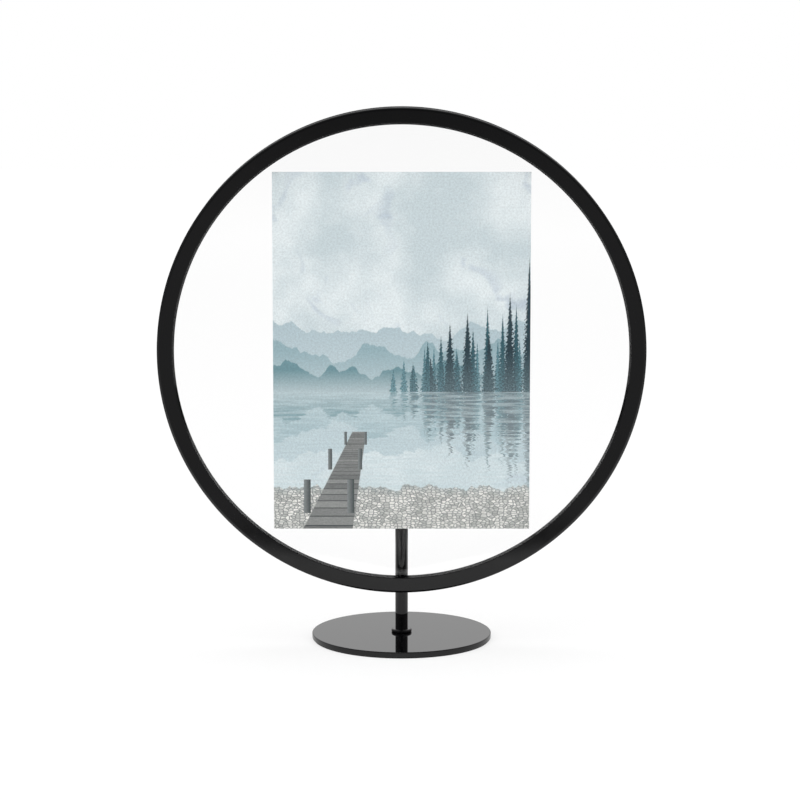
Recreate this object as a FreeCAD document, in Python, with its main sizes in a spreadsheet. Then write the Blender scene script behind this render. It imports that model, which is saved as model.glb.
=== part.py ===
import FreeCAD, Part
import math
import os
import re

import Sketcher
from FreeCAD import Placement, Rotation, Vector

# Round photo frame: a clear round pane sandwich in a black ring floats a portrait print, and turns a quarter
# turn on a hub at the top of a stem that stands on a disc base.
#
# Lengths are millimetres and angles degrees. The frame stands on Z = 0 with the base centred on the origin, and
# its front looks along -Y. The ring, the panes and the hub are drawn in the ring's own frame: local Z is the
# depth behind the ring's front face, local X is the width, and local Y points down.

SIZES = {
    # the print, and the ring that is sized round it
    "print_width": (127.0, "5 inch print, short side"),
    "print_height": (177.8, "7 inch print, long side"),
    "print_thickness": (0.25, "photo paper"),
    "corner_margin": (3.1, "from a print corner to the sight edge"),
    "face_width": (8.3, "width of the ring seen from the front"),
    "lip_depth": (2.6, "front lip that covers the panes' edge"),
    "lip_land": (0.2, "straight sight edge left behind the lip's round"),
    "edge_radius": (2.6, "round on the ring's outer front edge"),
    "wall_thickness": (3.25, "outer wall of the front ring"),
    "foot_gap": (23.0, "from the base disc to the bottom of the ring"),
    # panes and what beds them
    "glass_thickness": (2.0, "each pane"),
    "glass_chamfer": (0.3, "ground edge of a pane"),
    "glass_edge_gap": (0.3, "between a pane's edge and the ring's wall"),
    "gasket_thickness": (0.3, "between the lip and the front pane"),
    "tape_thickness": (0.3, "between the rear pane and the rear ring"),
    "bed_inset": (1.5, "how far gasket, tape and rear ring stay behind the sight edge"),
    "print_gap": (0.1, "between the print and the front pane"),
    # rear ring and the magnets that hold the front ring on it
    "rear_plate_thickness": (1.5, "flange that closes the ring at the back"),
    "rear_edge_chamfer": (0.8, "outer back edge of the flange"),
    "spigot_depth": (1.6, "step of the rear ring inside the wall"),
    "spigot_gap": (0.3, "between the step and the wall"),
    "closing_gap": (0.1, "between the front ring's wall and the flange"),
    "magnet_count": (8, "magnets round the ring"),
    "magnet_dia": (2.0, "disc magnet"),
    "magnet_length": (2.0, "disc magnet"),
    "magnet_clearance": (0.05, "glue gap round and under a magnet"),
    # turning hub
    "bond_thickness": (0.5, "bonding disc on the rear pane"),
    "bond_inset": (1.0, "bonding disc inside the plate's rim"),
    "hub_plate_dia": (40.0, "turning plate"),
    "hub_plate_thickness": (2.0, "turning plate"),
    "hub_plate_chamfer": (0.4, "rim of the turning plate"),
    "turn_gap": (0.05, "running gap on each side of the hub"),
    "friction_thickness": (0.8, "friction disc"),
    "pivot_dia": (6.0, "shoulder of the pivot screw"),
    "pivot_clearance": (0.05, "radial, shoulder in its bore"),
    "pivot_thread_dia": (4.0, "threaded end of the pivot screw"),
    "pivot_head_dia": (10.4, "head of the pivot screw"),
    "pivot_head_height": (2.2, "head of the pivot screw"),
    "pivot_hex": (3.0, "hexagon socket across flats"),
    "pivot_head_recess": (0.25, "head below the block's back face"),
    "washer_dia": (11.0, "thrust and wave washers"),
    "washer_bore_gap": (0.15, "radial, washers round the shoulder"),
    "thrust_thickness": (0.8, "thrust washer"),
    "wave_thickness": (0.3, "spring strip of the wave washer"),
    "wave_rise": (0.6, "from trough to crest"),
    "wave_count": (3, "crests round the washer"),
    "counterbore_gap": (0.7, "radial, round the washers"),
    "stop_radius": (9.0, "stop pin from the pivot axis"),
    "stop_pin_dia": (2.0, "stop pin"),
    "stop_pin_seat": (3.0, "stop pin pressed into the block"),
    "stop_gap": (0.25, "stop pin to the slot, all round"),
    "turn_angle": (90.0, "portrait to landscape"),
    # stem and its seat in the hub block
    "stem_dia": (6.35, "quarter inch rod"),
    "stem_chamfer": (0.4, "both ends of the rod"),
    "stem_fit": (0.03, "radial, rod in its bore"),
    "stem_seat": (8.4, "rod held in the block"),
    "ring_stem_gap": (1.0, "between the rear ring and the rod"),
    "seat_wall": (1.4, "between the rod's end and the counterbore"),
    "block_back_wall": (2.3, "behind the rod"),
    "block_edge_chamfer": (0.6, "front rim of the block"),
    "set_screw_dia": (3.0, "set screw that locks the rod"),
    "set_screw_hex": (1.5, "its hexagon socket across flats"),
    "set_screw_flat": (0.25, "flat on the rod under the set screw"),
    "cover_wall": (1.2, "hub cover"),
    "cover_gap": (0.1, "radial, cover on the block"),
    "cover_skirt": (1.8, "how far the cover reaches over the block"),
    "cover_chamfer": (0.8, "outer edge of the cover"),
    # base
    "base_dia": (90.0, "base disc"),
    "base_thickness": (2.6, "base disc"),
    "base_edge_chamfer": (0.4, "upper edge of the base disc"),
    "pad_thickness": (0.6, "foam pad under the disc"),
    "pad_inset": (0.7, "pad inside the disc's rim"),
    "collar_dia": (10.2, "bead round the foot of the stem"),
    "collar_height": (1.7, "bead round the foot of the stem"),
    "collar_chamfer": (0.5, "both rims of the bead"),
    "collar_gap": (0.05, "radial, bead round the stem"),
    "screw_dia": (4.0, "base screw"),
    "screw_clearance": (0.1, "radial, screw in the disc"),
    "screw_head_dia": (7.6, "countersunk head of the base screw"),
    "screw_grip": (9.0, "base screw's reach into the stem"),
    "screw_hex": (2.5, "its hexagon socket across flats"),
    "tap_runout": (2.0, "tapped hole beyond the screw's end"),
}

# Sizes worked out from the driving ones.
DERIVED = {
    "sight_radius": "sqrt(print_width ^ 2 + print_height ^ 2) / 2 + corner_margin",
    "ring_radius": "sight_radius + face_width",
    "wall_radius": "ring_radius - wall_thickness",
    "glass_radius": "wall_radius - glass_edge_gap",
    "bed_radius": "sight_radius + bed_inset",
    # depths behind the ring's front face
    "front_glass_depth": "lip_depth + gasket_thickness",
    "print_depth": "front_glass_depth + glass_thickness + print_gap",
    "rear_glass_depth": "print_depth + print_thickness",
    "tape_depth": "rear_glass_depth + glass_thickness",
    "spigot_start": "tape_depth + tape_thickness",
    "flange_depth": "spigot_start + spigot_depth",
    "wall_depth": "flange_depth - closing_gap",
    "ring_back": "flange_depth + rear_plate_thickness",
    "plate_depth": "tape_depth + bond_thickness",
    "plate_back": "plate_depth + hub_plate_thickness",
    "friction_depth": "plate_back + turn_gap",
    "block_front": "friction_depth + friction_thickness",
    "stem_depth": "ring_back + ring_stem_gap + stem_dia / 2",
    "block_back": "stem_depth + stem_bore_radius + block_back_wall",
    "head_depth": "block_back - pivot_head_recess - pivot_head_height",
    "thrust_depth": "head_depth - turn_gap - thrust_thickness",
    "wave_depth": "thrust_depth - wave_thickness - wave_rise",
    # radii round the pivot
    "pivot_bore_radius": "pivot_dia / 2 + pivot_clearance",
    "washer_bore_radius": "pivot_dia / 2 + washer_bore_gap",
    "counterbore_radius": "washer_dia / 2 + counterbore_gap",
    "slot_half": "stop_pin_dia / 2 + stop_gap",
    "friction_radius": "stop_radius - slot_half - stop_gap",
    "stem_bore_radius": "stem_dia / 2 + stem_fit",
    "stem_top": "counterbore_radius + seat_wall",
    "block_radius": "stem_top + stem_seat",
    "set_screw_place": "stem_top + stem_seat / 2",
    "cover_bore_radius": "block_radius + cover_gap",
    # heights above the table
    "disc_bottom": "pad_thickness",
    "disc_top": "pad_thickness + base_thickness",
    "centre_height": "disc_top + foot_gap + ring_radius",
    "stem_length": "centre_height - stem_top - disc_top",
    "screw_head_height": "(screw_head_dia - screw_dia) / 2",
}

os.makedirs("parts", exist_ok=True)
doc = FreeCAD.newDocument("RoundPhotoFrame")
sheet = doc.addObject("Spreadsheet::Sheet", "Sizes")
for row, (alias, (number, note)) in enumerate(SIZES.items(), start=1):
    sheet.set(f"A{row}", alias)
    sheet.set(f"B{row}", str(number))
    sheet.setAlias(f"B{row}", alias)
    sheet.set(f"C{row}", note)
doc.recompute()


def formula(text):
    """Spell a size formula out in the sheet's cells."""

    def spell(match):
        word = match.group(0)
        if word in DERIVED:
            return f"({formula(DERIVED[word])})"
        return f"Sizes.{word}" if word in SIZES else word

    return re.sub(r"[A-Za-z_]\w*", spell, text)


def value(text):
    """Work out a size formula as a number."""
    return float(sheet.evalExpression(formula(text)))


def new_body(name):
    """Start a piece with a label of its own."""
    body = doc.addObject("PartDesign::Body", name)
    body.Label = name
    return body


def place_on_stand(piece, height="0"):
    """Centre a piece on the stand's upright axis at a height above the table."""
    piece.Placement = Placement()
    piece.setExpression("Placement.Base.z", formula(height))
    return piece


def place_in_ring(piece, depth="0"):
    """Turn a piece's local Z to the back and set its origin on the ring's axis at a depth behind the face."""
    piece.Placement = Placement(Vector(), Rotation(Vector(1, 0, 0), -90))
    piece.setExpression("Placement.Base.y", formula(f"{depth} - stem_depth"))
    piece.setExpression("Placement.Base.z", formula("centre_height"))
    return piece


def new_sketch(body, role, name, offset="0"):
    """Put a sketch on one of the body's own origin planes, raised along its normal."""
    plane = next(item for item in body.Origin.OriginFeatures if item.Role == role)
    sketch = body.newObject("Sketcher::SketchObject", name)
    sketch.AttachmentSupport = [(plane, "")]
    sketch.MapMode = "FlatFace"
    sketch.setExpression("AttachmentOffset.Base.z", formula(offset))
    return sketch


def tie(sketch, constraint, text):
    """Add a sketch constraint whose size is a formula."""
    number = sketch.addConstraint(constraint)
    sketch.setExpression(f"Constraints[{number}]", formula(text))


def pin_point(sketch, geometry, vertex, across, along):
    """Hold a sketch point at two formulas measured from the sketch's origin."""
    for kind, axis, text in (("DistanceX", -2, across), ("DistanceY", -1, along)):
        if text == "0":
            sketch.addConstraint(Sketcher.Constraint("PointOnObject", geometry, vertex, axis))
        else:
            tie(sketch, Sketcher.Constraint(kind, -1, 1, geometry, vertex, value(text)), text)


def draw_outline(sketch, corners):
    """Draw a closed outline of straight edges through corners given as formulas."""
    points = [Vector(value(across), value(along), 0) for across, along in corners]
    count = len(points)
    for number in range(count):
        sketch.addGeometry(Part.LineSegment(points[number], points[(number + 1) % count]))
    for number, (across, along) in enumerate(corners):
        sketch.addConstraint(Sketcher.Constraint("Coincident", number, 2, (number + 1) % count, 1))
        pin_point(sketch, number, 1, across, along)


def draw_circle(sketch, radius, across="0", along="0"):
    """Draw a circle whose radius and centre are formulas."""
    centre = Vector(value(across), value(along), 0)
    geometry = sketch.addGeometry(Part.Circle(centre, Vector(0, 0, 1), value(radius)))
    tie(sketch, Sketcher.Constraint("Radius", geometry, value(radius)), radius)
    pin_point(sketch, geometry, 3, across, along)


def draw_hexagon(sketch, flats, along="0"):
    """Draw a hexagon of a width across flats, pointed up, round a centre on the sketch's own Y axis."""
    point = f"{flats} / sqrt(3)"
    draw_outline(sketch, [
        ("0", f"{along} + {point}"),
        (f"-{flats} / 2", f"{along} + {point} / 2"),
        (f"-{flats} / 2", f"{along} - {point} / 2"),
        ("0", f"{along} - {point}"),
        (f"{flats} / 2", f"{along} - {point} / 2"),
        (f"{flats} / 2", f"{along} + {point} / 2"),
    ])


def revolve(body, corners, name="Turned"):
    """Turn an outline of (radius, height) corners round the body's Z axis."""
    sketch = new_sketch(body, "XZ_Plane", f"{name}Outline")
    draw_outline(sketch, corners)
    feature = body.newObject("PartDesign::Revolution", name)
    feature.Profile = sketch
    feature.ReferenceAxis = (sketch, ["V_Axis"])
    feature.Angle = 360
    doc.recompute()
    return feature


def pad(body, sketch, length, name="Plate"):
    """Raise a sketch along its normal."""
    feature = body.newObject("PartDesign::Pad", name)
    feature.Profile = sketch
    feature.setExpression("Length", formula(length))
    doc.recompute()
    return feature


def pocket(body, sketch, length, name="Pocket", to_front=True):
    """Cut a sketch into the body against its normal, or along it, and make sure that it takes material away."""
    before = body.Shape.Volume
    feature = body.newObject("PartDesign::Pocket", name)
    feature.Profile = sketch
    feature.Reversed = not to_front
    feature.setExpression("Length", formula(length))
    doc.recompute()
    if body.Shape.Volume >= before:
        raise RuntimeError(f"{body.Label}: {name} cuts nothing")
    return feature


def repeat_round(body, feature, sketch, count):
    """Repeat a feature evenly round the body's Z axis."""
    pattern = body.newObject("PartDesign::PolarPattern", "Round")
    pattern.Originals = [feature]
    pattern.Axis = (sketch, ["N_Axis"])
    pattern.Angle = 360
    pattern.setExpression("Occurrences", formula(count))
    body.Tip = pattern
    doc.recompute()


def rim_edges(feature, rims):
    """Name the circular edges of given (radius, height)."""
    wanted = [(value(radius), value(height)) for radius, height in rims]
    found = []
    for number, edge in enumerate(feature.Shape.Edges, start=1):
        if not isinstance(edge.Curve, Part.Circle):
            continue
        circle = edge.Curve
        if any(abs(circle.Radius - radius) < 1e-6 and abs(circle.Center.z - height) < 1e-6
               for radius, height in wanted):
            found.append(f"Edge{number}")
    return found


def soften(body, feature, rims, size, kind="Fillet"):
    """Round or chamfer the rims of a turned piece."""
    edge_feature = body.newObject(f"PartDesign::{kind}", f"{kind}{len(body.Group)}")
    edge_feature.Base = (feature, rim_edges(feature, rims))
    edge_feature.setExpression("Radius" if kind == "Fillet" else "Size", formula(size))
    doc.recompute()
    return edge_feature


# --- base and stem ----------------------------------------------------------------------------------------------


def make_base_pad():
    """Foam disc under the base, a little inside its rim."""
    body = place_on_stand(new_body("base_pad"))
    sketch = new_sketch(body, "XY_Plane", "PadRim")
    draw_circle(sketch, "base_dia / 2 - pad_inset")
    pad(body, sketch, "pad_thickness", "Pad")
    return body


def make_base_disc():
    """Steel disc with a broken upper edge and a countersunk hole from below."""
    body = place_on_stand(new_body("base_disc"), "disc_bottom")
    hole = "screw_dia / 2 + screw_clearance"
    sink = "screw_head_dia / 2 + screw_clearance"
    disc = revolve(body, [
        (sink, "0"),
        ("base_dia / 2", "0"),
        ("base_dia / 2", "base_thickness"),
        (hole, "base_thickness"),
        (hole, "screw_head_height"),
    ])
    soften(body, disc, [("base_dia / 2", "base_thickness")], "base_edge_chamfer", "Chamfer")
    return body


def make_base_screw():
    """Countersunk screw that draws the stem down on the disc."""
    body = place_on_stand(new_body("base_screw"), "disc_bottom")
    revolve(body, [
        ("0", "0"),
        ("screw_head_dia / 2", "0"),
        ("screw_dia / 2", "screw_head_height"),
        ("screw_dia / 2", "base_thickness + screw_grip"),
        ("0", "base_thickness + screw_grip"),
    ])
    sketch = new_sketch(body, "XY_Plane", "SocketHexagon")
    draw_hexagon(sketch, "screw_hex")
    pocket(body, sketch, "screw_head_height", "Socket", to_front=False)
    return body


def make_stem_rod():
    """Round rod: tapped at the foot, chamfered at both ends, with a flat for the set screw at the top."""
    body = place_on_stand(new_body("stem_rod"), "disc_top")
    rod = revolve(body, [
        ("screw_dia / 2", "0"),
        ("stem_dia / 2", "0"),
        ("stem_dia / 2", "stem_length"),
        ("0", "stem_length"),
        ("0", "screw_grip + tap_runout"),
        ("screw_dia / 2", "screw_grip + tap_runout"),
    ])
    soften(body, rod, [("stem_dia / 2", "0"), ("stem_dia / 2", "stem_length")], "stem_chamfer", "Chamfer")
    sketch = new_sketch(body, "XZ_Plane", "FlatOutline", "-stem_dia / 2")
    low = "stem_length - stem_seat / 2 - set_screw_dia / 2"
    high = "stem_length - stem_seat / 2 + set_screw_dia / 2"
    draw_outline(sketch, [
        ("-stem_dia / 2", low),
        ("stem_dia / 2", low),
        ("stem_dia / 2", high),
        ("-stem_dia / 2", high),
    ])
    pocket(body, sketch, "set_screw_flat", "Flat", to_front=False)
    return body


def make_stem_collar():
    """Bead round the foot of the stem, its two rims chamfered."""
    body = place_on_stand(new_body("stem_collar"), "disc_top")
    bore = "stem_dia / 2 + collar_gap"
    rim = "collar_dia / 2"
    bead = revolve(body, [
        (bore, "0"),
        (rim, "0"),
        (rim, "collar_height"),
        (bore, "collar_height"),
    ])
    soften(body, bead, [(rim, "0"), (rim, "collar_height")], "collar_chamfer", "Chamfer")
    return body


# --- hub ---------------------------------------------------------------------------------------------------------


def make_hub_block():
    """Block on top of the stem: bored for the pivot, counterbored for its washers and bored from below."""
    body = place_in_ring(new_body("hub_block"), "block_front")
    depth = "block_back - block_front"
    seat = "wave_depth - block_front"
    block = revolve(body, [
        ("pivot_bore_radius", "0"),
        ("block_radius", "0"),
        ("block_radius", depth),
        ("counterbore_radius", depth),
        ("counterbore_radius", seat),
        ("pivot_bore_radius", seat),
    ])
    soften(body, block, [("block_radius", "0")], "block_edge_chamfer", "Chamfer")

    stem_bore = new_sketch(body, "XZ_Plane", "StemBoreRim", "-block_radius")
    draw_circle(stem_bore, "stem_bore_radius", "0", "stem_depth - block_front")
    pocket(body, stem_bore, "stem_seat", "StemBore", to_front=False)

    pin_hole = new_sketch(body, "XY_Plane", "StopPinRim")
    draw_circle(pin_hole, "stop_pin_dia / 2", *stop_pin_place())
    pocket(body, pin_hole, "stop_pin_seat", "StopPinHole", to_front=False)

    screw_hole = new_sketch(body, "XY_Plane", "SetScrewRim", depth)
    draw_circle(screw_hole, "set_screw_dia / 2", "0", "set_screw_place")
    pocket(body, screw_hole, "block_back_wall + stem_bore_radius", "SetScrewHole")
    return body


def stop_pin_place():
    """Centre of the stop pin: half the turn away from the local X axis, so that the slot is level at rest."""
    return "stop_radius * cos(turn_angle / 2)", "stop_radius * sin(turn_angle / 2)"


def make_stop_pin():
    """Dowel in the block that runs in the plate's slot."""
    body = place_in_ring(new_body("stop_pin"), "block_front")
    reach = "block_front - plate_depth - stop_gap"
    sketch = new_sketch(body, "XY_Plane", "PinRim", f"-({reach})")
    draw_circle(sketch, "stop_pin_dia / 2", *stop_pin_place())
    pad(body, sketch, f"stop_pin_seat + {reach}", "Pin")
    return body


def make_stem_set_screw():
    """Socket set screw that bears on the rod's flat."""
    body = place_in_ring(new_body("stem_set_screw"), "block_back")
    length = "block_back_wall + stem_fit + set_screw_flat"
    sketch = new_sketch(body, "XY_Plane", "ScrewRim", f"-({length})")
    draw_circle(sketch, "set_screw_dia / 2", "0", "set_screw_place")
    pad(body, sketch, length, "Screw")
    socket = new_sketch(body, "XY_Plane", "SocketHexagon")
    draw_hexagon(socket, "set_screw_hex", "set_screw_place")
    pocket(body, socket, f"{length} / 2", "Socket")
    return body


def make_friction_disc():
    """Plastic disc that the plate turns against."""
    body = place_in_ring(new_body("friction_disc"), "friction_depth")
    sketch = new_sketch(body, "XY_Plane", "DiscRims")
    draw_circle(sketch, "friction_radius")
    draw_circle(sketch, "washer_bore_radius")
    pad(body, sketch, "friction_thickness", "Disc")
    return body


def make_wave_washer():
    """Spring washer: a flat strip whose height follows a wave round the pivot."""
    steps = 8 * int(value("wave_count"))
    turns = [2 * math.pi * step / steps for step in range(steps)]
    middle = value("wave_rise") / 2

    def rim(radius, height):
        points = [Vector(radius * math.cos(turn), radius * math.sin(turn),
                         height + middle - middle * math.cos(value("wave_count") * turn)) for turn in turns]
        curve = Part.BSplineCurve()
        curve.interpolate(points, PeriodicFlag=True)
        return curve.toShape()

    inner = value("washer_bore_radius")
    outer = value("washer_dia") / 2
    top = value("wave_thickness")
    edges = [rim(inner, 0), rim(outer, 0), rim(outer, top), rim(inner, top)]
    faces = [Part.makeRuledSurface(edges[side], edges[(side + 1) % 4]) for side in range(4)]
    solid = Part.Solid(Part.makeShell([face for sheet_face in faces for face in sheet_face.Faces]))
    solid.fix(1e-4, 1e-4, 1e-4)
    piece = doc.addObject("Part::Feature", "wave_washer")
    piece.Label = "wave_washer"
    piece.Shape = solid if solid.Volume > 0 else solid.reversed()
    return place_in_ring(piece, "wave_depth")


def make_thrust_washer():
    """Flat washer between the wave washer and the screw's head."""
    body = place_in_ring(new_body("thrust_washer"), "thrust_depth")
    sketch = new_sketch(body, "XY_Plane", "WasherRims")
    draw_circle(sketch, "washer_dia / 2")
    draw_circle(sketch, "washer_bore_radius")
    pad(body, sketch, "thrust_thickness", "Washer")
    return body


def make_hub_cover():
    """Cap pressed over the back of the block."""
    body = place_in_ring(new_body("hub_cover"), "block_back")
    outer = "cover_bore_radius + cover_wall"
    cap = revolve(body, [
        ("0", "0"),
        ("cover_bore_radius", "0"),
        ("cover_bore_radius", "-cover_skirt"),
        (outer, "-cover_skirt"),
        (outer, "cover_wall"),
        ("0", "cover_wall"),
    ])
    soften(body, cap, [(outer, "cover_wall")], "cover_chamfer", "Chamfer")
    return body


def make_hub_plate():
    """Turning plate with a threaded centre and an arc slot whose ends stop the quarter turn."""
    body = place_in_ring(new_body("hub_plate"), "plate_depth")
    plate = revolve(body, [
        ("pivot_thread_dia / 2", "0"),
        ("hub_plate_dia / 2", "0"),
        ("hub_plate_dia / 2", "hub_plate_thickness"),
        ("pivot_thread_dia / 2", "hub_plate_thickness"),
    ])
    soften(body, plate, [("hub_plate_dia / 2", "hub_plate_thickness")], "hub_plate_chamfer", "Chamfer")
    sketch = new_sketch(body, "XY_Plane", "SlotOutline")
    draw_arc_slot(sketch)
    pocket(body, sketch, "hub_plate_thickness", "StopSlot", to_front=False)
    return body


def draw_arc_slot(sketch):
    """Draw the stop slot: two arcs round the pivot, closed by round ends that leave the stop gap round the pin."""
    half_turn = math.radians(value("turn_angle") / 2)
    middle, half = value("stop_radius"), value("slot_half")
    normal = Vector(0, 0, 1)

    def arc(centre, radius, start, end):
        return sketch.addGeometry(Part.ArcOfCircle(Part.Circle(centre, normal, radius), start, end))

    ends = [Vector(middle * math.cos(half_turn), side * middle * math.sin(half_turn), 0) for side in (1, -1)]
    outer = arc(Vector(), middle + half, -half_turn, half_turn)
    high = arc(ends[0], half, half_turn, half_turn + math.pi)
    inner = arc(Vector(), middle - half, -half_turn, half_turn)
    low = arc(ends[1], half, math.pi - half_turn, 2 * math.pi - half_turn)
    for first, first_end, second, second_end in (
        (outer, 2, high, 1), (high, 2, inner, 2), (inner, 1, low, 1), (low, 2, outer, 1)
    ):
        sketch.addConstraint(Sketcher.Constraint("Tangent", first, first_end, second, second_end))
    for curve in (outer, inner):
        sketch.addConstraint(Sketcher.Constraint("Coincident", curve, 3, -1, 1))
    tie(sketch, Sketcher.Constraint("Radius", outer, middle + half), "stop_radius + slot_half")
    tie(sketch, Sketcher.Constraint("Radius", inner, middle - half), "stop_radius - slot_half")
    along = stop_pin_place()[1]
    tie(sketch, Sketcher.Constraint("DistanceY", -1, 1, high, 3, value(along)), along)
    tie(sketch, Sketcher.Constraint("DistanceY", -1, 1, low, 3, -value(along)), f"-({along})")


def make_hub_bond_pad():
    """Bonding disc between the plate and the rear pane."""
    body = place_in_ring(new_body("hub_bond_pad"), "tape_depth")
    sketch = new_sketch(body, "XY_Plane", "BondRim")
    draw_circle(sketch, "hub_plate_dia / 2 - bond_inset")
    pad(body, sketch, "bond_thickness", "Bond")
    return body


def make_pivot_screw():
    """Shoulder screw: threaded into the plate, turning in the block, with a socket head."""
    body = place_in_ring(new_body("pivot_screw"), "plate_depth")
    shoulder = "plate_back - plate_depth"
    under_head = "head_depth - plate_depth"
    head_end = f"{under_head} + pivot_head_height"
    revolve(body, [
        ("0", "0"),
        ("pivot_thread_dia / 2", "0"),
        ("pivot_thread_dia / 2", shoulder),
        ("pivot_dia / 2", shoulder),
        ("pivot_dia / 2", under_head),
        ("pivot_head_dia / 2", under_head),
        ("pivot_head_dia / 2", head_end),
        ("0", head_end),
    ])
    sketch = new_sketch(body, "XY_Plane", "SocketHexagon", head_end)
    draw_hexagon(sketch, "pivot_hex")
    pocket(body, sketch, "pivot_head_height", "Socket")
    return body


# --- ring and panes ----------------------------------------------------------------------------------------------


def make_front_ring():
    """Front ring: a rounded lip over the panes, an outer wall round them and blind holes for the magnets."""
    body = place_in_ring(new_body("front_ring"))
    ring = revolve(body, [
        ("sight_radius", "0"),
        ("ring_radius", "0"),
        ("ring_radius", "wall_depth"),
        ("wall_radius", "wall_depth"),
        ("wall_radius", "lip_depth"),
        ("sight_radius", "lip_depth"),
    ])
    rim = soften(body, ring, [("ring_radius", "0")], "edge_radius")
    soften(body, rim, [("sight_radius", "0")], "lip_depth - lip_land")
    sketch = new_sketch(body, "XY_Plane", "MagnetHoleRim", "wall_depth")
    draw_circle(sketch, "magnet_dia / 2 + magnet_clearance", "ring_radius - wall_thickness / 2")
    hole = pocket(body, sketch, "magnet_length + magnet_clearance", "MagnetHole")
    repeat_round(body, hole, sketch, "magnet_count")
    return body


def make_ring_magnets():
    """Disc magnets flush with the end of the front ring's wall, a group of separate solids."""
    body = place_in_ring(new_body("ring_magnets"))
    body.AllowCompound = True
    sketch = new_sketch(body, "XY_Plane", "MagnetRim", "wall_depth - magnet_length")
    draw_circle(sketch, "magnet_dia / 2", "ring_radius - wall_thickness / 2")
    magnet = pad(body, sketch, "magnet_length", "Magnet")
    repeat_round(body, magnet, sketch, "magnet_count")
    return body


def make_flat_ring(name, depth, thickness):
    """Thin flat ring that beds a pane: the same width for the gasket and the tape."""
    body = place_in_ring(new_body(name), depth)
    sketch = new_sketch(body, "XY_Plane", "RingRims")
    draw_circle(sketch, "glass_radius")
    draw_circle(sketch, "bed_radius")
    pad(body, sketch, thickness, "Ring")
    return body


def make_pane(name, depth):
    """Round clear pane with a ground edge."""
    body = place_in_ring(new_body(name), depth)
    sketch = new_sketch(body, "XY_Plane", "PaneRim")
    draw_circle(sketch, "glass_radius")
    pane = pad(body, sketch, "glass_thickness", "Pane")
    rims = [("glass_radius", "0"), ("glass_radius", "glass_thickness")]
    soften(body, pane, rims, "glass_chamfer", "Chamfer")
    return body


def make_photo_print():
    """Portrait print between the panes."""
    body = place_in_ring(new_body("photo_print"), "print_depth")
    sketch = new_sketch(body, "XY_Plane", "PrintOutline")
    draw_outline(sketch, [
        ("-print_width / 2", "-print_height / 2"),
        ("print_width / 2", "-print_height / 2"),
        ("print_width / 2", "print_height / 2"),
        ("-print_width / 2", "print_height / 2"),
    ])
    pad(body, sketch, "print_thickness", "Paper")
    return body


def make_rear_ring():
    """Rear ring: a flange that closes the ring and a step inside the wall that backs the rear pane."""
    body = place_in_ring(new_body("rear_ring"), "spigot_start")
    back = "spigot_depth + rear_plate_thickness"
    ring = revolve(body, [
        ("bed_radius", "0"),
        ("wall_radius - spigot_gap", "0"),
        ("wall_radius - spigot_gap", "spigot_depth"),
        ("ring_radius", "spigot_depth"),
        ("ring_radius", back),
        ("bed_radius", back),
    ])
    soften(body, ring, [("ring_radius", back)], "rear_edge_chamfer", "Chamfer")
    return body


pieces = [
    make_base_pad(),
    make_base_disc(),
    make_base_screw(),
    make_stem_collar(),
    make_stem_rod(),
    make_hub_block(),
    make_stem_set_screw(),
    make_stop_pin(),
    make_friction_disc(),
    make_wave_washer(),
    make_thrust_washer(),
    make_hub_cover(),
    make_hub_plate(),
    make_hub_bond_pad(),
    make_pivot_screw(),
    make_rear_ring(),
    make_flat_ring("rear_glass_tape", "tape_depth", "tape_thickness"),
    make_pane("rear_glass", "rear_glass_depth"),
    make_photo_print(),
    make_pane("front_glass", "front_glass_depth"),
    make_flat_ring("front_gasket", "lip_depth", "gasket_thickness"),
    make_front_ring(),
    make_ring_magnets(),
]

doc.recompute()
for item in doc.Objects:
    if "Invalid" in item.State or "Error" in item.State:
        raise RuntimeError(f"{item.Label}: {item.State}")
for piece in pieces:
    if piece.Shape.isNull() or not piece.Shape.isValid():
        raise RuntimeError(f"{piece.Label}: no valid shape")
    piece.Shape.exportStep(f"parts/{piece.Label}.step")
    print(f"{piece.Label}: {len(piece.Shape.Solids)} solid(s), {piece.Shape.Volume:.1f} mm3")
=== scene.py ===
"""Looks of the round photo frame: finished surfaces, materials, stage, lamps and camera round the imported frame.

Sizes are in millimetres until a mesh is made, and every mesh is in metres in the frame's own axes: Z is up, the
print looks along -Y, and the ring's axis runs along Y through the turning hub.
"""

import logging
import math
from dataclasses import dataclass
from enum import Enum
from typing import Any, Sequence

import bpy
import numpy as np
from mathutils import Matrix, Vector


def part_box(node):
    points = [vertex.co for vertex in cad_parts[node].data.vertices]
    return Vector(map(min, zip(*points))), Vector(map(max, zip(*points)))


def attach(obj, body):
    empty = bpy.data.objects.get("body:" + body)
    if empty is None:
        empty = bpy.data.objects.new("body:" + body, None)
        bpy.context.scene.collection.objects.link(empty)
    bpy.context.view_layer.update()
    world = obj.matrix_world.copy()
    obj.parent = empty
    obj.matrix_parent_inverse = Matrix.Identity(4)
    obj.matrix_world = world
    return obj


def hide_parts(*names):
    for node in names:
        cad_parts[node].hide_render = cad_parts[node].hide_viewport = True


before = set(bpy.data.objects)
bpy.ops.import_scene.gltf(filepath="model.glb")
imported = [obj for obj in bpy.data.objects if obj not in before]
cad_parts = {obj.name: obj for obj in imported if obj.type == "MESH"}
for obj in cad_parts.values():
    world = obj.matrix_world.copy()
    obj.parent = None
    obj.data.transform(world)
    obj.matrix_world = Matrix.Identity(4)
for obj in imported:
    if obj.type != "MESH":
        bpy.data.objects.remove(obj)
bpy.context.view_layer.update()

MM = 0.001
WHITE = (1, 1, 1, 1)
# A noise lies mostly within the first pair of levels, and nearly always within the second.
MOSTLY, NEARLY = (0.3, 0.7), (0.25, 0.75)
# Rounds in millimetres of small edges: a lip, an inner corner, and edges that are turned, broken and eased.
LIP, INNER, TURNED, BROKEN, EASED = 0.08, 0.1, 0.15, 0.2, 0.3
log = logging.getLogger("photo_frame")


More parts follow.
